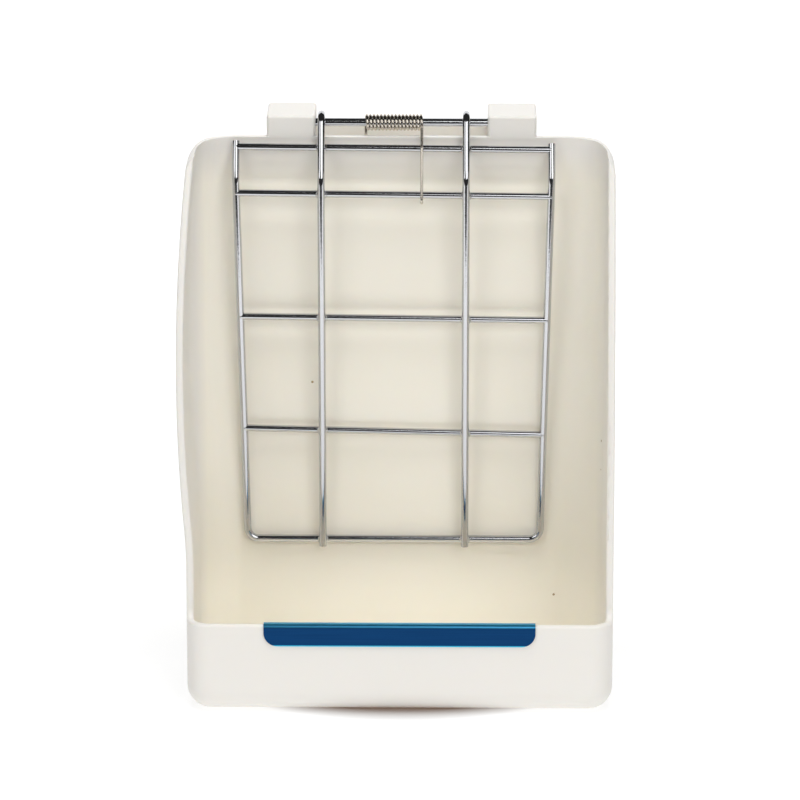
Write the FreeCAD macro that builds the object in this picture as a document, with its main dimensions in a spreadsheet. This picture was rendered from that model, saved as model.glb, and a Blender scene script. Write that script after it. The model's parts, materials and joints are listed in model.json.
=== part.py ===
"""Rabbit hopper feeder: a moulded hay rack and trough with a sprung wire grille.

Axes: +X to the feeder's right as the animal's keeper looks at it, +Y to the back, +Z up.
Origin: on the floor, under the middle of the body's width and depth. All sizes are in millimetres.
"""
import FreeCAD, Part
import math
import os
import re

import Sketcher

Vector = FreeCAD.Vector
X_AXIS = Vector(1, 0, 0)

# Every size that can be set by itself: name, value, what it is.
SIZES = [
    ("body_width", 170.0, "outside width of the moulded body"),
    ("body_depth", 79.0, "front of the lip to the back of the back wall"),
    ("body_height", 218.0, "floor to the top edge of the back wall"),
    ("wall", 3.0, "wall thickness of the moulding"),
    ("lip_height", 37.5, "floor to the top of the trough's lip"),
    ("front_corner", 9.6, "outside radius of the lip's upright corners"),
    ("back_corner", 20.0, "outside radius of the body's upright back corners"),
    ("base_edge", 9.4, "outside radius all round the base"),
    ("floor_edge", 6.5, "inside radius all round the trough's floor"),
    ("top_corner", 8.0, "radius of the body's two top corners, seen from the front"),
    ("rim_round", 1.1, "rounding of the front rim, inside and out"),
    ("cheek_setback", 10.0, "front of the lip to the front edge of a side wall"),
    ("cheek_straight", 24.0, "height of the upright part of that edge, above the lip"),
    ("cheek_top_depth", 26.0, "depth of a side wall at its top"),
    ("cheek_foot", 4.0, "radius where a side wall's front edge meets the lip"),
    ("bow_start", 58.0, "height where the left side wall starts to bow outwards"),
    ("bow_turn", 74.0, "height where that bow turns from hollow to full"),
    ("bow_step", 0.7, "how far out the left side wall is at that height"),
    ("bow_top_inset", 0.8, "how far in the left side wall ends at its top"),
    ("ear_width", 19.6, "width of each of the two ears that carry the rod"),
    ("ear_gap", 69.0, "clear distance between the ears"),
    ("ear_rise", 8.8, "how far the ears stand above the back wall"),
    ("ear_reach", 22.0, "depth of an ear, from the back wall's front face"),
    ("ear_drop", 6.0, "how far the ears come down behind the back wall"),
    ("ear_boss", 6.5, "solid front part of an ear, which holds the rod's end"),
    ("ear_upright_round", 1.5, "rounding of the ears' upright edges"),
    ("ear_top_round", 1.2, "rounding round the top of each ear"),
    ("tongue_drop", 26.0, "how far the hanging tongue reaches below the back wall's top"),
    ("tongue_round", 1.0, "rounding round the tongue's foot"),
    ("tongue_rise", 1.0, "how far the tongue stands above the back wall's top"),
    ("rod_diameter", 3.4, "pivot rod"),
    ("rod_setback", 3.0, "rod's axis behind the back wall's front face"),
    ("rod_rise", 5.4, "rod's axis above the back wall's top edge"),
    ("rod_seat", 7.5, "depth of the blind bore for each end of the rod"),
    ("rod_end_gap", 0.3, "rod's end to the bottom of its bore"),
    ("rod_bore_gap", 0.03, "radial gap between the rod and its bore"),
    ("wire", 3.0, "diameter of the frame wire and the hook wires"),
    ("bar_wire", 2.8, "diameter of the cross bars"),
    ("weld_sink", 0.3, "how far a hook wire sinks into what it is welded to"),
    ("left_play", 0.9, "left hook to the left ear"),
    ("right_play", 7.1, "right hook to the right ear"),
    ("hook_inside", 3.2, "inside radius of the hook that goes over the rod"),
    ("hook_gap", 0.05, "hook to the top of the rod"),
    ("hook_wrap", 8.0, "angle that the hook's end stops below level, behind the rod"),
    ("hook_end_drop", 2.2, "hook wires' lower ends below the bottom bar's middle"),
    ("slope", 25.0, "angle of the grille's upper part, forward of upright"),
    ("kink_drop", 20.0, "rod's axis down to the grille's bend"),
    ("kink_radius", 9.0, "radius of that bend"),
    ("frame_top_half", 63.2, "half the frame's width between wire middles at its top"),
    ("frame_bottom_half", 59.8, "the same at its bottom"),
    ("frame_corner", 4.5, "radius of the frame's bottom corners, to the wire's middle"),
    ("frame_end_gap", 0.3, "frame wire's top ends to the back wall's face, when shut"),
    ("bottom_drop", 174.8, "rod's axis down to the frame's bottom bar"),
    ("wall_gap", 0.35, "grille's bottom bar to the back wall when shut"),
    ("spring_wire", 1.2, "spring wire"),
    ("spring_outside", 6.8, "outside diameter of the spring's coil"),
    ("spring_turns", 15.5, "turns of the coil, which ends half a turn on so that the leg is in front"),
    ("spring_pitch", 1.45, "distance from one turn to the next"),
    ("spring_tail", 13.0, "length of the leg behind the back wall, below the rod's axis"),
    ("spring_gap", 0.15, "spring's leg to what it lies on"),
    ("guard_length", 108.0, "length of the chew guard"),
    ("guard_leg", 9.2, "height of each of its two legs"),
    ("guard_sheet", 0.6, "thickness of its sheet"),
    ("guard_gap", 0.05, "gap between the sheet and the lip, all round"),
    ("guard_corner", 5.6, "radius of the legs' lower corners"),
]

# The cross bars, top to bottom: drop of the left end and of the right end below the rod's axis.
BARS = [("first", 8.8, 9.7), ("second", 26.6, 27.8), ("third", 78.7, 80.0), ("fourth", 126.6, 129.2)]

doc = FreeCAD.newDocument("hopper_feeder")
sheet = doc.addObject("Spreadsheet::Sheet", "sizes")
for row, (name, value, note) in enumerate(SIZES, 1):
    sheet.set(f"A{row}", note)
    sheet.set(f"B{row}", str(value))
    sheet.setAlias(f"B{row}", name)
for number, (word, left, right) in enumerate(BARS):
    for side, drop in (("left", left), ("right", right)):
        row += 1
        sheet.set(f"A{row}", f"rod's axis down to the {word} cross bar's {side} end")
        sheet.set(f"B{row}", str(drop))
        sheet.setAlias(f"B{row}", f"{word}_bar_{side}")
doc.recompute()
NAMES = {name for name, _, _ in SIZES} | {f"{w}_bar_{s}" for w, _, _ in BARS for s in ("left", "right")}


def bound(formula):
    """The formula with each size's name pointing at the sheet, as other objects need it."""
    return re.sub(r"[a-z_]+", lambda m: f"sizes.{m[0]}" if m[0] in NAMES else m[0], str(formula))


def value(formula):
    """What the formula is worth now."""
    result = sheet.evalExpression(bound(formula))
    return float(getattr(result, "Value", result))


def bind(thing, **formulas):
    for prop, formula in formulas.items():
        thing.setExpression(prop, bound(formula))


# ---------------------------------------------------------------- sketches and features


def new_body(label):
    body = doc.addObject("PartDesign::Body", label)
    body.Label = label
    return body


def sketch_on(body, name, plane, offset="0"):
    """A sketch on one of the body's own origin planes, moved along the plane's normal."""
    sketch = body.newObject("Sketcher::SketchObject", name)
    origin_plane = next(f for f in body.Origin.OriginFeatures if f.Role == plane)
    sketch.AttachmentSupport = [(origin_plane, "")]
    sketch.MapMode = "FlatFace"
    sketch.setExpression(".AttachmentOffset.Base.z", bound(offset))
    return sketch


def pin_point(sketch, curve, end, across, up):
    """Holds one end of a sketch curve at a place given by two formulas."""
    for kind, formula in (("DistanceX", across), ("DistanceY", up)):
        number = sketch.addConstraint(Sketcher.Constraint(kind, -1, 1, curve, end, value(formula)))
        sketch.setExpression(f"Constraints[{number}]", bound(formula))


def outline(sketch, corners):
    """A closed outline through corners (across, up). A corner may add a third entry, the signed
    radius of the arc that leaves it: plus bulges to the right of the way round, minus to the left.
    """
    places = [(value(c[0]), value(c[1])) for c in corners]
    for number, corner in enumerate(corners):
        after = (number + 1) % len(corners)
        start = Vector(*places[number])
        end = Vector(*places[after])
        if len(corner) == 2:
            sketch.addGeometry(Part.LineSegment(start, end))
        else:
            radius = value(corner[2])
            chord = end - start
            rise = abs(radius) - math.sqrt(radius**2 - chord.Length**2 / 4)
            side = Vector(chord.y, -chord.x, 0).normalize() * math.copysign(rise, radius)
            arc = Part.Arc(start, (start + end) / 2 + side, end)
            sketch.addGeometry(arc)
    for number, corner in enumerate(corners):
        before = (number - 1) % len(corners)
        pin_point(sketch, number, start_of(sketch, number, places[number]), corner[0], corner[1])
        sketch.addConstraint(
            Sketcher.Constraint(
                "Coincident",
                number,
                start_of(sketch, number, places[number]),
                before,
                start_of(sketch, before, places[number]),
            )
        )
        if len(corner) == 3:
            size = sketch.addConstraint(Sketcher.Constraint("Radius", number, abs(value(corner[2]))))
            sketch.setExpression(f"Constraints[{size}]", bound(f"abs({corner[2]})"))
    return sketch


def start_of(sketch, curve, place):
    """1 or 2: which end of the curve lies at the place. An arc may run either way round."""
    first = sketch.getPoint(curve, 1)
    return 1 if math.hypot(first.x - place[0], first.y - place[1]) < 1e-6 else 2


def rectangle(sketch, left, right, low, high):
    return outline(sketch, [(left, low), (right, low), (right, high), (left, high)])


def feature(body, kind, name, sketch, length, **settings):
    """A pad or pocket of the sketch, by a length given as a formula, that really changes the body."""
    before = body.Shape.Volume if not body.Shape.isNull() else 0
    made = body.newObject(f"PartDesign::{kind}", name)
    made.Profile = sketch
    for prop, setting in settings.items():
        setattr(made, prop, setting)
    bind(made, Length=length)
    doc.recompute()
    if abs(body.Shape.Volume - before) < 1e-3:
        raise RuntimeError(f"{name} changed nothing")
    return made


def edges_where(shape, test):
    """Names of the shape's edges whose bounding box passes the test."""
    return [f"Edge{n}" for n, edge in enumerate(shape.Edges, 1) if test(edge, edge.BoundBox)]


def near(first, second, tolerance=0.02):
    return abs(first - second) < tolerance


def fillet(body, name, radius, test):
    """Rounds the edges of the body so far that pass the test."""
    previous = body.Tip
    names = edges_where(previous.Shape, test)
    if not names:
        raise RuntimeError(f"{name}: no edge found")
    made = body.newObject("PartDesign::Fillet", name)
    made.Base = (previous, names)
    bind(made, Radius=radius)
    doc.recompute()
    return made


# ---------------------------------------------------------------- the moulded body

# The rod's axis runs along X at this place.
ROD_Y = "(body_depth/2 - wall + rod_setback)"
ROD_Z = "(body_height + rod_rise)"
# The grille's middle, sideways, and half the distance between its hook wires' middles.
GRILLE_X = "((left_play - right_play)/2)"
HOOK_HALF = "((ear_gap - left_play - right_play - wire)/2)"

# Sketches on the XZ plane look along +Y: their offset is minus Y, a pad grows to the front
# and a pocket cuts to the back.


LEFT_LEAN = "2*atan(bow_step/(bow_turn - bow_start))"
HEAD = "body_height + 5"
LEFT_CHORD_LEAN = f"atan((bow_step + bow_top_inset)/({HEAD} - bow_turn))"
LEFT_CHORD = f"sqrt(({HEAD} - bow_turn)^2 + (bow_step + bow_top_inset)^2)"


def elevation(sketch, inset, foot):
    """The body's outline seen from the front, drawn in by the inset, from the foot to above the top.

    The left wall is free along its front edge, and the moulding has sprung outwards a little there:
    a short hollow arc leads out of the upright, and a long full arc runs from it to the top.
    """
    left = f"-(body_width/2 - {inset})"
    right = f"body_width/2 - {inset}"
    top_left = f"{left} + bow_top_inset"
    hollow_radius = "-((bow_turn - bow_start)^2 + bow_step^2)/(2*bow_step)"
    full_radius = f"{LEFT_CHORD}/(2*sin({LEFT_LEAN} + {LEFT_CHORD_LEAN}))"
    corners = [(left, foot), (right, foot), (right, HEAD), (top_left, HEAD, full_radius)]
    corners += [(f"{left} - bow_step", "bow_turn", hollow_radius), (left, "bow_start")]
    return outline(sketch, corners)


def cheek_cut(sketch):
    """What is cut away, seen from the side, to leave the side walls' curved front edges."""
    front = "-body_depth/2 - 5"
    edge = "-body_depth/2 + cheek_setback"
    brow = "body_depth/2 - cheek_top_depth"
    upright_top = "lip_height + cheek_straight"
    across = f"({brow} - ({edge}))"
    up = f"(body_height + 5 - ({upright_top}))"
    radius = f"({across}^2 + {up}^2)/(2*{across})"
    corners = [(front, "lip_height"), (edge, "lip_height"), (edge, upright_top, f"-({radius})")]
    corners += [(brow, "body_height + 5"), (front, "body_height + 5")]
    return outline(sketch, corners)


def make_hollow():
    """The space inside the walls, open above and in front, as a solid to cut away."""
    space = new_body("hollow_space")
    sketch = sketch_on(space, "hollow_elevation", "XZ_Plane", "-(body_depth/2 - wall)")
    elevation(sketch, "wall", "wall")
    feature(space, "Pad", "hollow_block", sketch, "body_depth - 2*wall")
    back = value("body_depth/2 - wall")

    def upright(box, place):
        return near(box.YMin, place) and near(box.YMax, place) and box.ZLength > 5 and box.XLength < 5

    fillet(space, "hollow_back_corners", "back_corner - wall", lambda e, b: upright(b, back))
    fillet(space, "hollow_lip_corners", "front_corner - wall", lambda e, b: upright(b, -back))
    low = value("wall")
    fillet(space, "trough_floor", "floor_edge", lambda e, b: near(b.ZMin, low) and near(b.ZMax, low))
    return space


def make_body():
    body = new_body("body_shell")
    back = "body_depth/2"
    face = "body_depth/2 - wall"

    elevation_sketch = sketch_on(body, "front_elevation", "XZ_Plane", f"-({back})")
    elevation(elevation_sketch, "0", "0")
    feature(body, "Pad", "block", elevation_sketch, "body_depth")
    cheek_sketch = sketch_on(body, "cheek_edge", "YZ_Plane")
    cheek_cut(cheek_sketch)
    feature(body, "Pocket", "cheek_edges", cheek_sketch, "body_width + 20", Midplane=True)
    top_sketch = sketch_on(body, "top_level", "XZ_Plane")
    rectangle(top_sketch, "-body_width", "body_width", "body_height", "body_height + 10")
    feature(body, "Pocket", "level_top", top_sketch, "body_depth + 20", Midplane=True)

    def upright(box):
        return near(box.YMin, box.YMax)

    fillet(body, "back_corners", "back_corner",
           lambda e, b: upright(b) and near(b.YMin, value(back)) and b.ZLength > 5)
    fillet(body, "lip_corners", "front_corner",
           lambda e, b: upright(b) and near(b.YMin, -value(back)) and b.ZLength > 5 and b.XLength < 1)
    fillet(body, "base_edges", "base_edge", lambda e, b: near(b.ZMin, 0) and near(b.ZMax, 0))

    boolean = body.newObject("PartDesign::Boolean", "hollow")
    boolean.Type = "Cut"
    boolean.addObject(make_hollow())
    doc.recompute()

    round_top_corners(body)
    foot = value("-body_depth/2 + cheek_setback")
    low = value("lip_height")

    def level_at(box, height):
        return near(box.ZMin, height) and near(box.ZMax, height)

    fillet(body, "cheek_feet", "cheek_foot",
           lambda e, b: level_at(b, low) and near(b.YMin, foot) and near(b.YMax, foot))
    fillet(body, "front_rim", "rim_round", lambda e, b: level_at(b, low) and b.YMax < foot)
    add_ears(body)
    return body


def left_wall_at(height):
    """How far left of the middle the bowed wall's outside is, at a height on its full arc."""
    foot = Vector(-value("body_width/2 + bow_step"), value("bow_turn"))
    head = Vector(-value("body_width/2 - bow_top_inset"), value(HEAD))
    chord = head - foot
    radius = value(f"{LEFT_CHORD}/(2*sin({LEFT_LEAN} + {LEFT_CHORD_LEAN}))")
    inward = Vector(chord.y, -chord.x, 0).normalize()
    middle = (foot + head) / 2 + inward * math.sqrt(radius**2 - chord.Length**2 / 4)
    return math.sqrt(radius**2 - (height - middle.y) ** 2) - middle.x


def round_top_corners(body):
    low = "body_height - top_corner"
    over = "body_height + 10"
    for side, wall_side in (("right", "body_width/2"), ("left", f"{left_wall_at(value(low)):.4f}")):
        sign = "-" if side == "left" else ""
        arc = "-top_corner" if side == "left" else "top_corner"
        flat_end = f"{sign}({wall_side} - top_corner)"
        spandrel = [(f"{sign}({wall_side})", low, arc), (flat_end, "body_height"), (flat_end, over)]
        spandrel += [(f"{sign}({wall_side} + 10)", over), (f"{sign}({wall_side} + 10)", low)]
        sketch = sketch_on(body, f"{side}_corner_outline", "XZ_Plane")
        outline(sketch, spandrel)
        feature(body, "Pocket", f"{side}_top_corner", sketch, "body_depth + 20", Midplane=True)


def add_ears(body):
    """Two ears that carry the rod, and the tongue behind them that hangs on a cage's edge."""
    face = "body_depth/2 - wall"
    ear_back = f"{face} + ear_reach"
    floor = "body_height - ear_drop"
    top = "body_height + ear_rise"
    for side, sign in (("right", ""), ("left", "-")):
        inner = f"{sign}(ear_gap/2)"
        outer = f"{sign}(ear_gap/2 + ear_width)"
        sketch = sketch_on(body, f"{side}_ear_outline", "XZ_Plane", f"-({ear_back})")
        rectangle(sketch, inner, outer, floor, top)
        feature(body, "Pad", f"{side}_ear", sketch, "ear_reach")
    sketch = sketch_on(body, "tongue_outline", "XZ_Plane", f"-({ear_back})")
    half = "ear_gap/2 + ear_width"
    rectangle(sketch, f"-({half})", half, "body_height - tongue_drop", "body_height + tongue_rise")
    feature(body, "Pad", "tongue", sketch, "wall")
    round_ears(body, value(face), value(ear_back), value(top))
    for side, sign in (("right", ""), ("left", "-")):
        near_side = f"{sign}(ear_gap/2 + wall)"
        far_side = f"{sign}(ear_gap/2 + ear_width - wall)"
        sketch = sketch_on(body, f"{side}_ear_core", "XY_Plane", floor)
        rectangle(sketch, near_side, far_side, f"{face} + ear_boss", f"{ear_back} - wall")
        feature(body, "Pocket", f"{side}_ear_hollow", sketch, "ear_drop + ear_rise - wall", Reversed=True)
    bore = sketch_on(body, "rod_bore_circle", "YZ_Plane")
    bore.addGeometry(Part.Circle(Vector(value(ROD_Y), value(ROD_Z)), Vector(0, 0, 1), value("rod_diameter/2")))
    pin_point(bore, 0, 3, ROD_Y, ROD_Z)
    size = bore.addConstraint(Sketcher.Constraint("Radius", 0, value("rod_diameter/2 + rod_bore_gap")))
    bore.setExpression(f"Constraints[{size}]", bound("rod_diameter/2 + rod_bore_gap"))
    feature(body, "Pocket", "rod_bores", bore, "ear_gap + 2*rod_seat", Midplane=True)


def round_ears(body, front, back, top):
    """Rounds the ears' upright edges, then the edges round their tops and the tongue's foot."""
    foot = value("body_height - tongue_drop")

    def upright_at(box, depth):
        return box.ZLength > 3 and near(box.YMin, depth) and near(box.YMax, depth) and near(box.ZMax, top)

    def level_at(box, height):
        return near(box.ZMin, height) and near(box.ZMax, height)

    fillet(body, "ear_front_edges", "ear_upright_round", lambda e, b: upright_at(b, front))
    fillet(body, "ear_back_edges", "ear_upright_round", lambda e, b: upright_at(b, back))
    fillet(body, "ear_top_edges", "ear_top_round", lambda e, b: level_at(b, top))
    fillet(body, "tongue_foot", "tongue_round", lambda e, b: level_at(b, foot))


# ---------------------------------------------------------------- bent wire


def rounded_path(points, radii):
    """A wire path through the points, with an arc of the given radius at each point between."""
    edges = []
    here = points[0]
    for before, corner, after, radius in zip(points, points[1:], points[2:], radii):
        arriving = (corner - before).normalize()
        leaving = (after - corner).normalize()
        half_turn = arriving.getAngle(leaving) / 2
        reach = radius * math.tan(half_turn)
        to_middle = (leaving - arriving).normalize() * radius * (1 / math.cos(half_turn) - 1)
        enter = corner - arriving * reach
        leave = corner + leaving * reach
        edges.append(Part.LineSegment(here, enter).toShape())
        edges.append(Part.Arc(enter, corner + to_middle, leave).toShape())
        here = leave
    edges.append(Part.LineSegment(here, points[-1]).toShape())
    return edges


def bent_wire(label, edges, diameter):
    """A round wire of the diameter, given as a formula, swept along the edges."""
    line = doc.addObject("Part::Feature", f"{label}_line")
    line.Shape = Part.Wire(edges)
    start = edges[0]
    circle = doc.addObject("Part::Circle", f"{label}_section")
    bind(circle, Radius=f"{diameter}/2")
    along = start.tangentAt(start.FirstParameter)
    circle.Placement = FreeCAD.Placement(
        start.valueAt(start.FirstParameter), FreeCAD.Rotation(Vector(0, 0, 1), along)
    )
    sweep = doc.addObject("Part::Sweep", label)
    sweep.Label = label
    sweep.Sections = [circle]
    sweep.Spine = (line, [f"Edge{n}" for n in range(1, len(edges) + 1)])
    sweep.Solid = True
    doc.recompute()
    return sweep


# The grille seen from the side, as places (across, up) measured from the rod's axis, +across to
# the back. The frame wire and the cross bars share one layer. The hook wires lie in front of it.


def flat(across, up):
    return Vector(across, up, 0)


def forward_normal(direction):
    """At a right angle to a downward direction, towards the front."""
    return flat(direction.y, -direction.x).normalize()


def crossing(first, first_way, second, second_way):
    """Where two lines in the side view cross."""
    area = first_way.x * second_way.y - first_way.y * second_way.x
    gap = second - first
    return first + first_way * ((gap.x * second_way.y - gap.y * second_way.x) / area)


class SideView:
    """The side view's points, worked out from the sheet."""

    def __init__(self):
        slope = math.radians(value("slope"))
        self.upper = flat(-math.sin(slope), -math.cos(slope))
        upper_normal = forward_normal(self.upper)
        self.hook_middle = flat(0, value("rod_diameter/2 + hook_gap - hook_inside"))
        self.hook_radius = value("hook_inside + wire/2")
        layer = value("wire - weld_sink")
        self.hook_foot = self.hook_middle + upper_normal * self.hook_radius
        above = self.hook_foot - upper_normal * layer
        drop = (above.y + value("kink_drop")) / math.cos(slope)
        self.kink = above + self.upper * drop
        self.bottom = flat(-value("rod_setback + wall_gap + wire/2"), -value("bottom_drop"))
        self.lower = (self.bottom - self.kink).normalize()
        lower_normal = forward_normal(self.lower)
        self.front_bottom = self.bottom + lower_normal * layer + self.lower * value("hook_end_drop")
        self.front_kink = crossing(self.hook_foot, self.upper, self.front_bottom, self.lower)
        self.normals = {"upper": upper_normal, "lower": lower_normal}

    def back_layer(self, drop):
        """The point of the back layer at a drop below the rod, and the forward normal there."""
        if drop < -self.kink.y:
            return self.kink - self.upper * ((drop + self.kink.y) / self.upper.y), self.normals["upper"]
        return self.kink - self.lower * ((drop + self.kink.y) / self.lower.y), self.normals["lower"]

    def frame_end(self):
        """The frame wire's top end: as far up the slope as the wall's face lets its back edge go."""
        to_back_edge = self.normals["upper"] * value("-wire/2")
        across = -value("rod_setback + frame_end_gap") - to_back_edge.x
        return self.kink + self.upper * ((across - self.kink.x) / self.upper.x)

    def bar_middle(self, drop):
        """A cross bar's middle at a drop below the rod: its front is flush with the frame wire's."""
        place, normal = self.back_layer(drop)
        return place + normal * value("(wire - bar_wire)/2"), normal

    def half_width(self, place):
        """Half the frame's width at a point of the back layer. It narrows evenly downwards."""
        top = value("frame_top_half")
        share = (place - self.kink).Length if place.y < self.kink.y else 0
        full = (self.bottom - self.kink).Length
        return top - (top - value("frame_bottom_half")) * share / full


def in_space(place, across):
    """A side-view place, at a distance across from the grille's middle, in the feeder's frame."""
    return Vector(value(GRILLE_X) + across, value(ROD_Y) + place.x, value(ROD_Z) + place.y)


def make_grille():
    side = SideView()
    left_end = side.frame_end()
    right_end = left_end + side.upper * value("first_bar_right - first_bar_left")
    top_half, bottom_half = value("frame_top_half"), value("frame_bottom_half")
    points = [in_space(left_end, -top_half), in_space(side.kink, -top_half)]
    points += [in_space(side.bottom, -bottom_half), in_space(side.bottom, bottom_half)]
    points += [in_space(side.kink, top_half), in_space(right_end, top_half)]
    kink, corner = value("kink_radius"), value("frame_corner")
    frame = bent_wire("frame_wire", rounded_path(points, [kink, corner, corner, kink]), "wire")

    for word, _, _ in BARS:
        make_bar(word, side, frame)
    for hand, sign in (("left", -1), ("right", 1)):
        make_hook_wire(hand, sign * value(HOOK_HALF), side)
    return side


def bar_end(word, hand, side):
    place, _ = side.bar_middle(value(f"{word}_bar_{hand}"))
    sign = -1 if hand == "left" else 1
    return in_space(place, sign * side.half_width(place))


def make_bar(word, side, frame):
    """A cross bar, cut at each end to the round side of the frame wire that it is welded to."""
    left, right = bar_end(word, "left", side), bar_end(word, "right", side)
    stock = doc.addObject("Part::Cylinder", f"{word}_bar_stock")
    bind(stock, Radius="bar_wire/2")
    stock.Height = (right - left).Length
    stock.Placement = FreeCAD.Placement(left, FreeCAD.Rotation(Vector(0, 0, 1), right - left))
    bar = doc.addObject("Part::Cut", f"{word}_cross_bar")
    bar.Label = f"{word}_cross_bar"
    bar.Base = stock
    bar.Tool = frame
    doc.recompute()


def make_hook_wire(hand, across, side):
    """A hook wire: over the rod from behind, down the slope, round the bend and down to its end."""
    def round_hook(angle):
        turn = math.radians(angle)
        return side.hook_middle + flat(math.cos(turn), math.sin(turn)) * side.hook_radius

    end_angle = value("hook_wrap")
    foot_angle = 180 - value("slope")
    arc = [in_space(round_hook(a), across) for a in (end_angle, (end_angle + foot_angle) / 2, foot_angle)]
    points = [in_space(p, across) for p in (side.hook_foot, side.front_kink, side.front_bottom)]
    edges = [Part.Arc(*arc).toShape()] + rounded_path(points, [value("kink_radius + wire")])
    bent_wire(f"{hand}_hook_wire", edges, "wire")


# ---------------------------------------------------------------- rod, spring and guard


def make_rod():
    rod = doc.addObject("Part::Cylinder", "pivot_rod")
    rod.Label = "pivot_rod"
    bind(rod, Radius="rod_diameter/2", Height="ear_gap + 2*(rod_seat - rod_end_gap)")
    length = value("ear_gap + 2*(rod_seat - rod_end_gap)")
    rod.Placement = FreeCAD.Placement(
        Vector(-length / 2, value(ROD_Y), value(ROD_Z)), FreeCAD.Rotation(Vector(0, 0, 1), X_AXIS)
    )


# The ball at each end of the coil, where a leg leaves it, is this much thicker than the wire, so
# that its surface crosses the wires' surfaces instead of touching them.
ELBOW = 1.06


def make_spring(side):
    """A torsion spring on the rod: one leg behind the back wall, the other down over two bars."""
    radius = value("(spring_outside - spring_wire)/2")
    thick = value("spring_wire")
    length = value("spring_turns*spring_pitch")
    left_end = -length / 2
    clear = value("bar_wire/2 + spring_wire/2 + spring_gap")

    tail_foot = flat(value(f"body_depth/2 - {ROD_Y} + spring_wire/2 + spring_gap"), -value("spring_tail"))
    tail = rounded_path([in_space(tail_foot, left_end), in_space(flat(radius, 0), left_end)], [])

    helix = Part.makeHelix(value("spring_pitch"), length, radius)
    to_rod = FreeCAD.Placement(
        in_space(flat(0, 0), left_end), FreeCAD.Rotation(Vector(0, 1, 0), Vector(0, 0, 1), X_AXIS, "ZXY")
    )
    helix.Placement = to_rod

    contacts = []
    for word in ("first", "second"):
        share = (length / 2 + value("frame_top_half")) / value("2*frame_top_half")
        drop = value(f"{word}_bar_left") * (1 - share) + value(f"{word}_bar_right") * share
        place, normal = side.bar_middle(drop)
        contacts.append((place, place + normal * clear))
    (_, first_touch), (second_bar, second_touch) = contacts
    way = (second_touch - first_touch).normalize()
    toe = second_touch + way * (clear + thick / 2)
    tip = flat(second_bar.x + clear, toe.y - thick / 2)
    leg_points = [flat(-radius, 0), first_touch, toe, tip]
    leg = rounded_path([in_space(p, length / 2) for p in leg_points], [3 * thick, 1.2 * thick])
    bodies = []
    for edges in (tail, helix.Edges, leg):
        start = edges[0].Vertexes[0].Point
        along = edges[0].tangentAt(edges[0].FirstParameter)
        ring = Part.Wire(Part.makeCircle(thick / 2, start, along))
        bodies.append(Part.Wire(edges).makePipeShell([ring], True, True))
    coil_ends = [Part.Wire(helix.Edges).OrderedVertexes[n].Point for n in (0, -1)]
    joints = [Part.makeSphere(thick / 2 * ELBOW, end) for end in coil_ends]
    spring = doc.addObject("Part::Feature", "torsion_spring")
    spring.Label = "torsion_spring"
    spring.Shape = bodies[0].fuse(bodies[1:] + joints)


def make_guard():
    """The channel of sheet metal pressed over the lip, so that it can't be chewed."""
    guard = new_body("chew_guard")
    gap, sheet_metal = "guard_gap", "guard_sheet"
    inner = f"(-body_depth/2 + wall + {gap})"
    outer = f"(-body_depth/2 - {gap})"
    top = f"(lip_height + {gap})"
    foot = f"(lip_height + {gap} + {sheet_metal} - guard_leg)"
    section = sketch_on(guard, "guard_section", "YZ_Plane")
    corners = [(f"{outer} - {sheet_metal}", foot), (outer, foot), (outer, top), (inner, top), (inner, foot)]
    corners += [(f"{inner} + {sheet_metal}", foot), (f"{inner} + {sheet_metal}", f"{top} + {sheet_metal}")]
    corners += [(f"{outer} - {sheet_metal}", f"{top} + {sheet_metal}")]
    outline(section, corners)
    feature(guard, "Pad", "guard_channel", section, "guard_length", Midplane=True)
    low = value(foot)
    fillet(guard, "guard_corners", "guard_corner",
           lambda e, b: near(b.ZMin, low) and near(b.ZMax, low) and b.XLength < 0.1)
    high = value(f"{top} + {sheet_metal}")
    fillet(guard, "guard_outer_bends", "rim_round + guard_gap + guard_sheet",
           lambda e, b: near(b.ZMin, high) and b.XLength > 50)
    fillet(guard, "guard_inner_bends", "rim_round + guard_gap",
           lambda e, b: near(b.ZMin, value(top)) and near(b.ZMax, value(top)) and b.XLength > 50)


def write_parts():
    """Checks every object and writes each sub-part to its own file."""
    doc.recompute()
    failed = [o.Name for o in doc.Objects if {"Invalid", "Error"} & set(o.State)]
    if failed:
        raise RuntimeError(f"failed objects: {failed}")
    os.makedirs("parts", exist_ok=True)
    for label in PARTS:
        part = doc.getObjectsByLabel(label)[0]
        shape = part.Shape
        if shape.isNull() or not shape.isValid() or not shape.Solids:
            raise RuntimeError(f"{label} has no valid solid")
        shape.exportStep(f"parts/{label}.step")
        box = shape.optimalBoundingBox(False)
        print(f"{label:18} {shape.Volume:10.1f} mm3  {box.XLength:6.1f} x {box.YLength:6.1f} x {box.ZLength:6.1f}")


PARTS = ["body_shell", "chew_guard", "pivot_rod", "torsion_spring", "frame_wire"]
PARTS += [f"{word}_cross_bar" for word, _, _ in BARS] + ["left_hook_wire", "right_hook_wire"]

make_body()
make_guard()
make_rod()
side_view = make_grille()
make_spring(side_view)
write_parts()
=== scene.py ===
# %% [markdown]
# # A rabbit's hopper feeder
# The feeder is one ivory moulding, a grille of chromed wire that hangs on a rod and is pressed shut
# by a torsion spring, and a strip of blue sheet metal over the trough's lip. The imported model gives
# every piece its place and size. This script gives the pieces their finished edges, wire, welds and
# surfaces, and it works in metres in the same frame.

import json
import math

import bmesh
import bpy
from mathutils import Matrix, Vector


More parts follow.
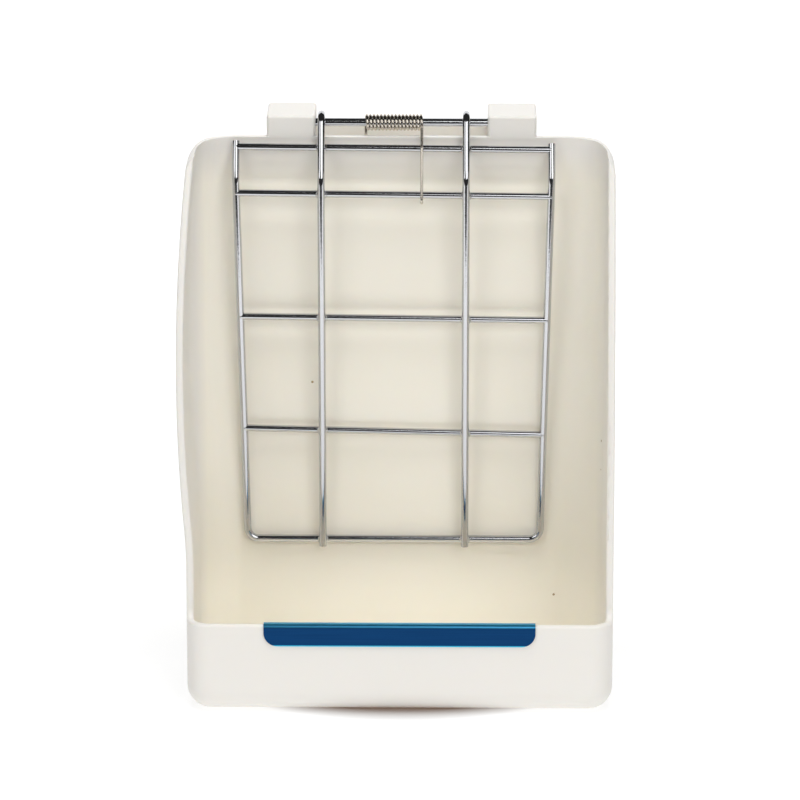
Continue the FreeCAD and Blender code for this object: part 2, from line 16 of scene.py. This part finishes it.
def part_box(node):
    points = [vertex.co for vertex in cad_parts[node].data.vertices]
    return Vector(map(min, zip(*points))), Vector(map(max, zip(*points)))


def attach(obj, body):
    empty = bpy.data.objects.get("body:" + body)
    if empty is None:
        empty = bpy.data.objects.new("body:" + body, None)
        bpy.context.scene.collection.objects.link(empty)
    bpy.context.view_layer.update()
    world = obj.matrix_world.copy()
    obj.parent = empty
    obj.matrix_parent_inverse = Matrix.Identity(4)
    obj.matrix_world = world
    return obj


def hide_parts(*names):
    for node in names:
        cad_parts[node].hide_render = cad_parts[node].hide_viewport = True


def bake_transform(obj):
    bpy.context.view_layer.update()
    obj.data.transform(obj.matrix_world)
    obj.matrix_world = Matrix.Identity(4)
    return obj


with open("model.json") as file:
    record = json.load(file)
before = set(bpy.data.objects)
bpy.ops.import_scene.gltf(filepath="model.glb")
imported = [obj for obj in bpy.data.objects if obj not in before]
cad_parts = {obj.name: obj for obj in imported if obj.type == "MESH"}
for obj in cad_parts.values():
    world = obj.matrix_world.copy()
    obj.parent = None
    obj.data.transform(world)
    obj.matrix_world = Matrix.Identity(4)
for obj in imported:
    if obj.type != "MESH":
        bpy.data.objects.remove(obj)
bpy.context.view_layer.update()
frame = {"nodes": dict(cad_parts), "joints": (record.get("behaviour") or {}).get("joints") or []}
print("nodes:", sorted(frame["nodes"]))

# %% [markdown]
# Sizes below are written in millimetres, as a maker writes them, and turned to metres by MM. The
# hinge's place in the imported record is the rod's axis, which the spring and the hooks go round.

# %% Millimetres and the rod's axis
MM = 0.001
hinge = next(joint for joint in frame["joints"] if joint["name"] == "grille_hinge")
rod_axis = Vector(hinge["pos_m"])
print("rod axis at", [round(v / MM, 1) for v in rod_axis], "mm")

# %% [markdown]
# ## Small helpers for meshes
# A CAD mesh is made of loose triangles. For a softened edge the triangles have to be joined first,
# so a piece starts as a merged copy and the CAD mesh itself stays as it is. The imported normals
# belong to the loose triangles, so the copy drops them and is smoothed again by angle.


# %% Merge a copy of a CAD node
MERGE_DISTANCE = 0.002 * MM


def merged_copy(node, name):
    mesh = frame["nodes"][node].data.copy()
    mesh.name = name
    if "custom_normal" in mesh.attributes:
        mesh.attributes.remove(mesh.attributes["custom_normal"])
    bm = bmesh.new()
    bm.from_mesh(mesh)
    bmesh.ops.remove_doubles(bm, verts=bm.verts, dist=MERGE_DISTANCE)
    bmesh.ops.dissolve_degenerate(bm, edges=bm.edges, dist=MERGE_DISTANCE)
    bm.to_mesh(mesh)
    bm.free()
    mesh.materials.clear()
    return show(mesh, name)


def show(mesh, name):
    piece = bpy.data.objects.new(name, mesh)
    bpy.context.scene.collection.objects.link(piece)
    return piece


# %% [markdown]
# The Bevel modifier rounds only edges sharper than its angle, so the moulding's own large radii are
# left alone. Weighted Normal then lets the large flat faces decide the shading, which keeps a wall
# from looking dented where it meets a narrow round.


# %% Soften edges and smooth the shading
def soften(piece, width, segments=3, sharper_than=40):
    bevel = piece.modifiers.new("softened_edges", "BEVEL")
    bevel.width = width
    bevel.segments = segments
    bevel.limit_method = "ANGLE"
    bevel.angle_limit = math.radians(sharper_than)
    bevel.use_clamp_overlap = True
    smooth(piece)
    return piece


def smooth(piece, angle=35):
    piece.data.shade_smooth()
    piece.data.set_sharp_from_angle(angle=math.radians(angle))
    normals = piece.modifiers.new("weighted_normals", "WEIGHTED_NORMAL")
    normals.keep_sharp = True
    normals.weight = 80
    return piece


def report(piece):
    size = [round(v / MM, 1) for v in piece.dimensions]
    print(f"{piece.name}: {len(piece.data.polygons)} faces, {size} mm")
    return piece


# %% [markdown]
# ## The camera
# The feeder is seen from the front and a little above, from far away with a long lens, so that its
# upright lines stay almost parallel. The camera is aimed by its pitch and a small turn to the left.

# %% Place the camera
CAMERA_PLACE = Vector((0.0210, -1.9000, 0.7197))
CAMERA_PITCH = math.radians(17.54)
CAMERA_TURN = math.radians(0.64)
CAMERA_LENS = 224.5

camera_data = bpy.data.cameras.new("camera")
camera_data.lens = CAMERA_LENS
camera_data.sensor_width = 36.0
camera = bpy.data.objects.new("camera", camera_data)
bpy.context.scene.collection.objects.link(camera)
camera.location = CAMERA_PLACE
camera.rotation_euler = (math.pi / 2 - CAMERA_PITCH, 0, CAMERA_TURN)
bpy.context.scene.camera = camera

# %% [markdown]
# ## The moulding
# The body comes out of a two-part mould in one shot: back wall, side walls, trough, and the two ears
# and the tongue that hang it on a cage. The CAD shape is right, so its merged copy is used, and only
# the edges that a mould can't leave sharp are rounded, such as the wall's top edge.

# %% Make the moulded body
MOULD_EDGE = 1.1 * MM

body = merged_copy("body_shell", "moulded_body")
soften(body, MOULD_EDGE)
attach(body, "shell")
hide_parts("body_shell")
report(body)

# %% [markdown]
# ## The chew guard
# A strip of thin sheet is folded over the lip so that teeth meet metal. Cut sheet has a fine rolled
# edge that catches the light as a thin line, so its edges get a very small bevel.

# %% Make the chew guard
SHEET_EDGE = 0.16 * MM

guard = merged_copy("chew_guard", "folded_guard")
soften(guard, SHEET_EDGE, segments=2)
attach(guard, "shell")
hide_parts("chew_guard")
report(guard)

# %% [markdown]
# ## The grille's wires and the rod
# The wires are cut, bent, welded and then plated. Plating rounds the cut ends a little, so each
# wire's ends are bevelled, and the long round sides need nothing more.

# %% Make the wires
WIRE_END = 0.5 * MM
WIRES = ["frame_wire", "left_hook_wire", "right_hook_wire"]
BARS = ["first_cross_bar", "second_cross_bar", "third_cross_bar", "fourth_cross_bar"]


def plated_wire(node, body_name, end_round):
    wire = merged_copy(node, f"plated_{node}")
    soften(wire, end_round, sharper_than=60)
    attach(wire, body_name)
    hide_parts(node)
    return report(wire)


wires = [plated_wire(node, "grille", WIRE_END) for node in WIRES + BARS]
rod = plated_wire("pivot_rod", "shell", WIRE_END)

# %% [markdown]
# ## Welds
# Each crossing is a resistance weld: the wires sink into each other and a little metal is pressed
# out into the corners. A squashed sphere at the crossing fills those corners. The bars also butt
# against the frame wire, with a small collar at each end.


# %% Find where the wires cross
def middle_at(node, across):
    """The middle of a straight, nearly level wire where it is at a distance across."""
    points = [v.co for v in frame["nodes"][node].data.vertices]
    low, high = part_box(node)
    reach = 3 * MM
    left = [p for p in points if p.x < low.x + reach]
    right = [p for p in points if p.x > high.x - reach]
    start = sum(left, Vector()) / len(left)
    end = sum(right, Vector()) / len(right)
    return start.lerp(end, (across - start.x) / (end.x - start.x))


def middle_across(node):
    low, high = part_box(node)
    return (low.x + high.x) / 2


hook_places = [middle_across("left_hook_wire"), middle_across("right_hook_wire")]
print("hook wires at", [round(x / MM, 1) for x in hook_places], "mm")

# %% Press a flare into each crossing
FLARE_SIZE = Vector((2.25, 0.95, 2.1)) * MM
BAR_RADIUS = 1.4 * MM


def add_flare(bm, place, size, turn=0.0):
    ball = bmesh.ops.create_uvsphere(bm, u_segments=20, v_segments=10, radius=1.0)
    shape = Matrix.Rotation(turn, 4, "X") @ Matrix.Diagonal((*size, 1.0))
    bmesh.ops.transform(bm, matrix=Matrix.Translation(place) @ shape, verts=ball["verts"])


def slope_of(above, below):
    """How far a hook wire leans from upright between two bars, as a turn about X."""
    step = middle_at(above, 0) - middle_at(below, 0)
    return math.atan2(-step.y, step.z)


flares = bmesh.new()
leans = {bar: slope_of("third_cross_bar", "fourth_cross_bar") for bar in BARS}
leans["first_cross_bar"] = slope_of("first_cross_bar", "second_cross_bar")
for bar in BARS:
    lean = leans[bar]
    forward = Matrix.Rotation(lean, 3, "X") @ Vector((0, -BAR_RADIUS, 0))
    for across in hook_places:
        add_flare(flares, middle_at(bar, across) + forward, FLARE_SIZE, lean)

# %% [markdown]
# The frame's bottom bar is one straight run of the bent frame wire, so its middle is the wire's
# radius above the frame's lowest point, and its back is the frame's furthest back point down there.

# %% Press the flares of the bottom bar
WIRE_RADIUS = 1.5 * MM

low_points = [v.co for v in frame["nodes"]["frame_wire"].data.vertices]
frame_foot = min(p.z for p in low_points)
foot_points = [p for p in low_points if p.z < frame_foot + 2 * WIRE_RADIUS]
foot_back = max(p.y for p in foot_points)
bottom_bar = Vector((0, foot_back - WIRE_RADIUS, frame_foot + WIRE_RADIUS))
for across in hook_places:
    place = Vector((across, bottom_bar.y - WIRE_RADIUS, bottom_bar.z))
    add_flare(flares, place, FLARE_SIZE, leans["fourth_cross_bar"])
print("bottom bar at", [round(v / MM, 1) for v in bottom_bar], "mm")

# %% Add a collar at each bar's end
COLLAR_SIZE = Vector((1.1, 1.62, 1.62)) * MM

for bar in BARS:
    low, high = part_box(bar)
    for across in (low.x, high.x):
        add_flare(flares, middle_at(bar, across), COLLAR_SIZE)

weld_mesh = bpy.data.meshes.new("weld_flares")
flares.to_mesh(weld_mesh)
flares.free()
welds = show(weld_mesh, "weld_flares")
welds.data.shade_smooth()
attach(welds, "grille")
report(welds)

# %% [markdown]
# ## The torsion spring
# A spring is wound from one length of wire, so it is modelled the way a coiling machine makes it: a
# ring of points, the wire's section, is carried along, and each move leaves wire behind it. The spin
# operator does every move. About the rod's axis with a step along it, it winds the coil. About
# another axis it makes a bend, and an extrude and a shift feed a straight length.


# %% Wire moves: feed, bend and wind
def ring_of(geometry):
    return [part for part in geometry if isinstance(part, bmesh.types.BMEdge)]


def points_of(edges):
    return list({point for edge in edges for point in edge.verts})


def feed(bm, ring, step):
    """Pushes a straight length out of the ring."""
    made = bmesh.ops.extrude_edge_only(bm, edges=ring)["geom"]
    points = [part for part in made if isinstance(part, bmesh.types.BMVert)]
    bmesh.ops.translate(bm, verts=points, vec=step)
    return [edge for edge in ring_of(made) if all(v in points for v in edge.verts)]


def turn(bm, ring, centre, angle, steps, axis=Vector((1, 0, 0)), advance=0.0):
    """Bends or winds the ring round an axis, moving it along X by the advance in all."""
    made = bmesh.ops.spin(
        bm, geom=ring, cent=centre, axis=axis, angle=angle, steps=steps,
        dvec=Vector((advance / steps, 0, 0)), use_merge=False, use_duplicate=False,
    )
    return ring_of(made["geom_last"])


# %% [markdown]
# The coil starts behind the rod, goes over the top and ends in front of it half a turn on. From each
# end a leg runs down: the short one behind the back wall, the long one in front of the first two
# cross bars, with its tip bent in under the second.

# %% Wind the coil
SPRING_WIRE = 1.2 * MM
COIL_RADIUS = 2.8 * MM
COIL_TURNS = 15.5
COIL_PITCH = 1.45 * MM
WIRE_SIDES = 14
STEPS_PER_TURN = 28

coil_length = COIL_TURNS * COIL_PITCH
coil_start = rod_axis.x - coil_length / 2
coil_end = rod_axis.x + coil_length / 2

spring_bm = bmesh.new()
first = bmesh.ops.create_circle(spring_bm, segments=WIRE_SIDES, radius=SPRING_WIRE / 2)
start_place = Vector((coil_start, rod_axis.y + COIL_RADIUS, rod_axis.z))
bmesh.ops.translate(spring_bm, verts=first["verts"], vec=start_place)
first_ring = list(spring_bm.edges)
coil_ring = turn(
    spring_bm, first_ring, rod_axis, 2 * math.pi * COIL_TURNS,
    round(COIL_TURNS * STEPS_PER_TURN), advance=coil_length,
)
end_points = points_of(coil_ring)
ring_middle = sum((v.co for v in end_points), Vector()) / len(end_points)
print("coil ends at", [round(v / MM, 2) for v in ring_middle - rod_axis], "mm from the axis")

# %% [markdown]
# A leg is a route of straight lengths with a bend at each corner. The bend's centre lies beside the
# wire, on the side it turns to, at the bend radius, and each straight length stops where its bend
# starts.


# %% Bend the legs along their routes
BEND_RADIUS = 1.6 * MM
BEND_STEPS = 6
ALONG_X = Vector((1, 0, 0))


def follow(bm, ring, places):
    here = places[0]
    for before, corner, after in zip(places, places[1:], places[2:]):
        arriving = (corner - before).normalized()
        leaving = (after - corner).normalized()
        angle = math.atan2(arriving.cross(leaving).x, arriving.dot(leaving))
        reach = BEND_RADIUS * math.tan(abs(angle) / 2)
        enter = corner - arriving * reach
        ring = feed(bm, ring, enter - here)
        centre = enter + ALONG_X.cross(arriving) * math.copysign(BEND_RADIUS, angle)
        ring = turn(bm, ring, centre, angle, BEND_STEPS)
        here = corner + leaving * reach
    return feed(bm, ring, places[-1] - here)


def beside_rod(across, back, up):
    """A place given from the rod's axis: back is towards the wall, both in metres."""
    return Vector((across, rod_axis.y + back, rod_axis.z + up))


# %% [markdown]
# The short leg lies against the back of the wall. The origin is under the middle of the trough's
# depth, so the wall's back is as far behind the origin as the body's front is in front of it.

# %% Make the short leg
LEG_START = 1.2 * MM
SHORT_LEG = 13.0 * MM
LEG_GAP = 0.15 * MM

wall_back = -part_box("body_shell")[0].y
short_route = [
    beside_rod(coil_start, COIL_RADIUS, 0),
    beside_rod(coil_start, COIL_RADIUS, -LEG_START),
    beside_rod(coil_start, wall_back - rod_axis.y + SPRING_WIRE / 2 + LEG_GAP, -SHORT_LEG),
]
short_end = follow(spring_bm, first_ring, short_route)
print("short leg ends", round(SHORT_LEG / MM, 1), "mm below the axis")

# %% [markdown]
# The long leg presses on the first two cross bars from in front, which is what holds the grille shut.
# Its two touching places are read from the bars, and its toe and tip follow from them.

# %% Make the long leg over two bars
TIP_REACH = 4.6 * MM
TIP_DROP = 0.6 * MM

touch = BAR_RADIUS + SPRING_WIRE / 2 + LEG_GAP


def in_front_of(bar):
    """Where the long leg passes a bar: a wire's radius and a small gap in front of it."""
    return middle_at(bar, coil_end) + Matrix.Rotation(leans[bar], 3, "X") @ Vector((0, -touch, 0))


first_touch = in_front_of("first_cross_bar")
second_touch = in_front_of("second_cross_bar")
downward = (second_touch - first_touch).normalized()
toe = second_touch + downward * (touch + SPRING_WIRE / 2)
tip = toe + Vector((0, TIP_REACH, -TIP_DROP))
long_route = [
    beside_rod(coil_end, -COIL_RADIUS, 0),
    beside_rod(coil_end, -COIL_RADIUS, -LEG_START),
    first_touch,
    toe,
    tip,
]
long_end = follow(spring_bm, coil_ring, long_route)
print("long leg's toe", round((rod_axis.z - toe.z) / MM, 1), "mm below the axis")

# %% [markdown]
# The two cut ends are closed and given a small bevel.

# %% Close the spring
END_ROUND = 0.25 * MM

for end in (short_end, long_end):
    cap = bmesh.ops.contextual_create(spring_bm, geom=end)["faces"]
    rim = list({edge for face in cap for edge in face.edges})
    bmesh.ops.bevel(
        spring_bm, geom=rim, offset=END_ROUND, affect="EDGES", segments=2, profile=0.5, material=-1
    )
bmesh.ops.recalc_face_normals(spring_bm, faces=spring_bm.faces)
spring_mesh = bpy.data.meshes.new("wound_spring")
spring_bm.to_mesh(spring_mesh)
spring_bm.free()
spring = show(spring_mesh, "wound_spring")
spring_mesh.shade_smooth()
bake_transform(spring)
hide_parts("torsion_spring")
report(spring)

# %% [markdown]
# ## Materials
# Colours are written as sRGB hex values, as they are read off a colour card, and turned to the
# linear values that the renderer works with. Patterns read Object coordinates, which are metres in
# the feeder's own frame, so a scale is one over the pattern's real size.


# %% Colours and nodes
def linear(hex_colour):
    channels = [int(hex_colour[i : i + 2], 16) / 255 for i in (1, 3, 5)]
    return [c / 12.92 if c <= 0.04045 else ((c + 0.055) / 1.055) ** 2.4 for c in channels] + [1.0]


def add_node(tree, kind, settings=None, **links):
    """A node with its settings. A link is a socket of another node, and a plain value is set."""
    node = tree.nodes.new(kind)
    for name, setting in (settings or {}).items():
        setattr(node, name, setting)
    for socket, source in links.items():
        entry = node.inputs[socket.replace("_", " ")]
        if isinstance(source, bpy.types.NodeSocket):
            tree.links.new(source, entry)
        else:
            entry.default_value = source
    return node


def new_material(name, **shader_values):
    material = bpy.data.materials.new(name)
    material.use_nodes = True
    shader = material.node_tree.nodes["Principled BSDF"]
    for socket, setting in shader_values.items():
        shader.inputs[socket.replace("_", " ")].default_value = setting
    return material, material.node_tree, shader


def per_mm(size):
    """The scale that makes a pattern's cells this many millimetres across."""
    return 1 / (size * MM)


# %% [markdown]
# ### Moulded polypropylene
# The body is ivory polypropylene out of a polished mould: a soft, slightly waxy surface with an IOR
# of about 1.49 that lets a little light in, so it glows warm in its corners. The mould's polish isn't
# perfect, so the gloss varies in patches and the large faces are a little wavy.

# %% Ivory polypropylene
WAVE_SIZE = 38

ivory, tree, shader = new_material(
    "moulded_polypropylene", IOR=1.49, Subsurface_Weight=0.12, Subsurface_Scale=2.5 * MM,
)
shader.inputs["Subsurface Radius"].default_value = (1.0, 0.75, 0.45)
place = add_node(tree, "ShaderNodeTexCoord").outputs["Object"]
patches = add_node(tree, "ShaderNodeTexNoise", Vector=place, Scale=per_mm(WAVE_SIZE), Detail=2.0)
tint = add_node(tree, "ShaderNodeMix", {"data_type": "RGBA"}, Factor=patches.outputs["Fac"])
tint.inputs[6].default_value = linear("#FBF6EA")
tint.inputs[7].default_value = linear("#F7F2E4")
print("ivory waves are", WAVE_SIZE, "mm across")

# %% [markdown]
# The inside of the trough looks warmer than the rims, the ears and the outside. Part of that is light
# that bounces between the walls, which the renderer works out, and the rest is painted bounce light:
# the inside gets the warm ivory and the rims, ears and outside a cooler neutral. Three ramps, one
# along each axis, mark the inside, and their product mixes the two colours. Colour sockets of a Mix
# node are found by number: 6 and 7 go in and 2 comes out.

# %% Paint warm bounce light inside
RAMPS = {
    "X": (83.0 * MM, 79.0 * MM),
    "Y": (-37.0 * MM, -29.0 * MM),
    "Z": (214.0 * MM, 200.0 * MM),
}

mirrored = add_node(tree, "ShaderNodeVectorMath", {"operation": "ABSOLUTE"})
tree.links.new(place, mirrored.inputs[0])
share = None
for axis, (starts, ends) in RAMPS.items():
    source = mirrored.outputs[0] if axis == "X" else place
    split = add_node(tree, "ShaderNodeSeparateXYZ", Vector=source)
    ramp = add_node(tree, "ShaderNodeMapRange", Value=split.outputs[axis])
    ramp.inputs["From Min"].default_value = starts
    ramp.inputs["From Max"].default_value = ends
    if share is None:
        share = ramp.outputs[0]
        continue
    product = add_node(tree, "ShaderNodeMath", {"operation": "MULTIPLY"})
    tree.links.new(share, product.inputs[0])
    tree.links.new(ramp.outputs[0], product.inputs[1])
    share = product.outputs[0]
# Painted bounce light: the warm ivory inside, a cooler neutral on the rims, ears and outside.
painted_bounce_tint = add_node(tree, "ShaderNodeMix", {"data_type": "RGBA"}, Factor=share)
painted_bounce_tint.inputs[6].default_value = linear("#EDEAE4")
tree.links.new(tint.outputs[2], painted_bounce_tint.inputs[7])

# %% [markdown]
# A moulding has a few dark specks of burnt resin or dust. Cells of a Voronoi pattern each hold one
# point, and a second random value lets only a few of them show a speck.

# %% Add specks to the ivory
SPECK_SPACING = 9.0
SPECK_SIZE = 0.055
SPECK_SHARE = 0.93

cells = add_node(tree, "ShaderNodeTexVoronoi", Vector=place, Scale=per_mm(SPECK_SPACING))
dot = add_node(tree, "ShaderNodeMath", {"operation": "LESS_THAN"})
tree.links.new(cells.outputs["Distance"], dot.inputs[0])
dot.inputs[1].default_value = SPECK_SIZE
chosen = add_node(tree, "ShaderNodeSeparateColor", Color=cells.outputs["Color"])
rare = add_node(tree, "ShaderNodeMath", {"operation": "GREATER_THAN"})
tree.links.new(chosen.outputs["Red"], rare.inputs[0])
rare.inputs[1].default_value = SPECK_SHARE
speck = add_node(tree, "ShaderNodeMath", {"operation": "MULTIPLY"})
tree.links.new(dot.outputs[0], speck.inputs[0])
tree.links.new(rare.outputs[0], speck.inputs[1])
specked = add_node(tree, "ShaderNodeMix", {"data_type": "RGBA"}, Factor=speck.outputs[0])
tree.links.new(painted_bounce_tint.outputs[2], specked.inputs[6])
specked.inputs[7].default_value = linear("#A88F68")
tree.links.new(specked.outputs[2], shader.inputs["Base Color"])
print("one cell in", round(1 / (1 - SPECK_SHARE)), "may show a speck")

# %% [markdown]
# Two bumps shape the surface: a fine grain from the mould's finish, and shallow waves over the large
# faces. The waves' pattern varies the gloss as well.

# %% Vary the ivory's gloss and surface
GLOSSY, DULL = 0.36, 0.48
GRAIN_SIZE = 1.2

gloss = add_node(tree, "ShaderNodeMapRange", Value=patches.outputs["Fac"])
gloss.inputs["To Min"].default_value = GLOSSY
gloss.inputs["To Max"].default_value = DULL
tree.links.new(gloss.outputs[0], shader.inputs["Roughness"])
grain = add_node(tree, "ShaderNodeTexNoise", Vector=place, Scale=per_mm(GRAIN_SIZE), Detail=2.0)
fine = add_node(
    tree, "ShaderNodeBump", Height=grain.outputs["Fac"], Strength=0.05, Distance=0.1 * MM
)
wave = add_node(
    tree, "ShaderNodeBump", Height=patches.outputs["Fac"], Strength=0.25, Distance=1.0 * MM
)
tree.links.new(fine.outputs[0], wave.inputs["Normal"])
tree.links.new(wave.outputs[0], shader.inputs["Normal"])

# %% [markdown]
# ### Chrome plate
# Bright chrome over nickel is a metal, with a base colour a little darker and cooler than silver. Its
# surface is nearly a mirror, but plated wire keeps the die's draw marks and a faint haze, so the
# roughness wanders a little in patches a few millimetres long.


# %% Chrome for the wires and plated steel for the spring
HAZE_SIZE = 6
DRAW_MARK_SIZE = 1.6


def plated(name, colour, haze_low, haze_high):
    material, tree, shader = new_material(name, Metallic=1.0, Base_Color=linear(colour))
    place = add_node(tree, "ShaderNodeTexCoord").outputs["Object"]
    haze = add_node(tree, "ShaderNodeTexNoise", Vector=place, Scale=per_mm(HAZE_SIZE), Detail=3.0)
    rough = add_node(tree, "ShaderNodeMapRange", Value=haze.outputs["Fac"])
    rough.inputs["To Min"].default_value = haze_low
    rough.inputs["To Max"].default_value = haze_high
    tree.links.new(rough.outputs[0], shader.inputs["Roughness"])
    marks = add_node(tree, "ShaderNodeTexNoise", Vector=place, Scale=per_mm(DRAW_MARK_SIZE), Detail=2.0)
    dents = add_node(
        tree, "ShaderNodeBump", Height=marks.outputs["Fac"], Strength=0.12, Distance=0.1 * MM
    )
    tree.links.new(dents.outputs[0], shader.inputs["Normal"])
    return material


chrome = plated("chrome_plate", "#C9CACD", 0.05, 0.16)
spring_steel = plated("plated_spring_steel", "#D2CBC0", 0.10, 0.20)

# %% [markdown]
# ### Blue anodised sheet
# The guard is aluminium sheet, brushed along its length and dyed blue. It is still a metal, so the
# dye is its base colour, and the brushing shows as fine streaks along X that stretch the highlight.
# The colour is painted paler in a band along the top of the fold, which faces up to the light, and
# in a thin line at the foot: both are painted highlights where those edges catch the light.

# %% Blue sheet
guard_low, guard_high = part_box("chew_guard")
FOLD_START = 1.5 * MM
CUT_EDGE = 0.3 * MM
STREAK_WIDTH = 0.5
STREAK_STRETCH = 0.02

blue, tree, shader = new_material("blue_anodised_sheet", Metallic=0.95, Roughness=0.3)
place = add_node(tree, "ShaderNodeTexCoord").outputs["Object"]
along = add_node(tree, "ShaderNodeMapping", Vector=place, Scale=(STREAK_STRETCH, 1.0, 1.0))
streaks = add_node(
    tree, "ShaderNodeTexNoise", Vector=along.outputs[0], Scale=per_mm(STREAK_WIDTH), Detail=2.0
)
dye = add_node(tree, "ShaderNodeMix", {"data_type": "RGBA"}, Factor=streaks.outputs["Fac"])
dye.inputs[6].default_value = linear("#0E3763")
dye.inputs[7].default_value = linear("#114274")
height = add_node(tree, "ShaderNodeSeparateXYZ", Vector=place).outputs["Z"]
highlighted_dye = dye.outputs[2]
# Painted highlights: a pale band along the fold's top and a thin bright line at the foot.
for start, end, colour in (
    (guard_high.z - FOLD_START, guard_high.z - FOLD_START / 2, "#4DB2E6"),
    (guard_low.z + 2 * CUT_EDGE, guard_low.z + CUT_EDGE, "#45BEE4"),
):
    ramp = add_node(tree, "ShaderNodeMapRange", Value=height)
    ramp.inputs["From Min"].default_value = start
    ramp.inputs["From Max"].default_value = end
    painted_highlight = add_node(tree, "ShaderNodeMix", {"data_type": "RGBA"}, Factor=ramp.outputs[0])
    tree.links.new(highlighted_dye, painted_highlight.inputs[6])
    painted_highlight.inputs[7].default_value = linear(colour)
    highlighted_dye = painted_highlight.outputs[2]
tree.links.new(highlighted_dye, shader.inputs["Base Color"])
brushing = add_node(
    tree, "ShaderNodeBump", Height=streaks.outputs["Fac"], Strength=0.1, Distance=0.05 * MM
)
tree.links.new(brushing.outputs[0], shader.inputs["Normal"])

# %% [markdown]
# Each finish goes on the pieces that are made of it. The plated wires share one material.

# %% Give each piece its material
finishes = {ivory: [body], blue: [guard], chrome: [*wires, rod, welds], spring_steel: [spring]}
for material, pieces in finishes.items():
    for piece in pieces:
        piece.data.materials.append(material)
    print(material.name, "on", [piece.name for piece in pieces])

# %% [markdown]
# ## The studio
# The feeder stands on a white table that ends a little in front of it, with a white backdrop behind.
# Past the table's edge the room is dark. That is what draws the black lines in the chrome, and the
# table and the backdrop draw the pale ones. The table's glow is painted light and shade: it is dimmer
# near the feeder than further out, and under the feeder it turns warm near-black, a painted contact
# shadow along the base.

# %% Table and backdrop
TABLE_FRONT = -0.43
TABLE_BACK = 2.4
BACKDROP_HEIGHT = 3.4
HALF_WIDTH = 2.2
GLOW_NEAR = 0.72
GLOW_FAR = 1.02
BACKDROP_GLOW = 1.02
FOOTPRINT_SHAPE = (0.62, 1.0, 1.0)
DARK_WITHIN = 0.036
LIT_BEYOND = 0.047
FULLY_LIT = 0.40


def white_sheet(name, place, size_x, size_y, tilt=0.0):
    bm = bmesh.new()
    bmesh.ops.create_grid(bm, x_segments=1, y_segments=1, size=1.0)
    bmesh.ops.scale(bm, vec=(size_x / 2, size_y / 2, 1), verts=bm.verts)
    bmesh.ops.rotate(bm, cent=(0, 0, 0), matrix=Matrix.Rotation(tilt, 3, "X"), verts=bm.verts)
    bmesh.ops.translate(bm, vec=place, verts=bm.verts)
    mesh = bpy.data.meshes.new(name)
    bm.to_mesh(mesh)
    bm.free()
    sheet = show(mesh, name)
    return sheet


def glowing(name, strength):
    material, tree, shader = new_material(name, Roughness=0.9, Emission_Strength=strength)
    shader.inputs["Base Color"].default_value = linear("#989898")
    shader.inputs["Emission Color"].default_value = linear("#FFFFFF")
    return material, tree, shader


table_middle = (TABLE_FRONT + TABLE_BACK) / 2
table = white_sheet("table", (0, table_middle, 0), 2 * HALF_WIDTH, TABLE_BACK - TABLE_FRONT)
backdrop = white_sheet(
    "backdrop", (0, TABLE_BACK, BACKDROP_HEIGHT / 2), 2 * HALF_WIDTH, BACKDROP_HEIGHT, math.pi / 2
)
backdrop.data.materials.append(glowing("backdrop_paper", BACKDROP_GLOW)[0])

shaded_table_glow, tree, shader = glowing("table_glow_painted_shadow", GLOW_FAR)
place = add_node(tree, "ShaderNodeTexCoord").outputs["Object"]
footprint = add_node(tree, "ShaderNodeVectorMath", {"operation": "MULTIPLY"})
tree.links.new(place, footprint.inputs[0])
footprint.inputs[1].default_value = FOOTPRINT_SHAPE
distance = add_node(tree, "ShaderNodeVectorMath", {"operation": "LENGTH"})
tree.links.new(footprint.outputs[0], distance.inputs[0])
# Painted shade and contact shadow: a warm near-black under the feeder, a dimmer glow near it and full
# white further out.
glow_and_painted_shadow = add_node(tree, "ShaderNodeValToRGB", Fac=distance.outputs["Value"])
ramp = glow_and_painted_shadow.color_ramp
ramp.elements[0].position = DARK_WITHIN
ramp.elements[0].color = (0.10, 0.06, 0.04, 1)
ramp.elements[1].position = FULLY_LIT
ramp.elements[1].color = (GLOW_FAR, GLOW_FAR, GLOW_FAR, 1)
edge = ramp.elements.new(LIT_BEYOND)
edge.color = (GLOW_NEAR, GLOW_NEAR, GLOW_NEAR, 1)
shader.inputs["Emission Strength"].default_value = 1.0
tree.links.new(glow_and_painted_shadow.outputs["Color"], shader.inputs["Emission Color"])
table.data.materials.append(shaded_table_glow)

# %% [markdown]
# Two softboxes stand left and right of the camera, a little above it, and they draw the bright lines
# in the sloping wires. A third hangs overhead and fills the trough. It is flagged off from the
# chrome, as a studio would do with a black card, so it isn't seen by glossy rays.


# %% Softboxes and the room
LIGHTS_AIM = Vector((0, 0, 0.11))
ROOM_GREY = (0.03, 0.03, 0.03, 1)


def softbox(name, place, width, height, power):
    light = bpy.data.lights.new(name, "AREA")
    light.shape = "RECTANGLE"
    light.size = width
    light.size_y = height
    light.energy = power
    lamp = bpy.data.objects.new(name, light)
    bpy.context.scene.collection.objects.link(lamp)
    lamp.location = place
    aim = LIGHTS_AIM - Vector(place)
    lamp.rotation_euler = aim.to_track_quat("-Z", "Y").to_euler()
    return lamp


softbox("right_box", (0.62, -1.25, 0.86), 1.2, 1.2, 10.2)
softbox("left_box", (-0.98, -1.05, 0.80), 0.8, 1.1, 4.8)
overhead = softbox("overhead_box", (0.0, -0.30, 1.60), 1.0, 0.8, 15.5)
overhead.visible_glossy = False

world = bpy.data.worlds.new("room")
world.use_nodes = True
world.node_tree.nodes["Background"].inputs["Color"].default_value = ROOM_GREY
bpy.context.scene.world = world
bpy.context.scene.view_settings.view_transform = "Standard"
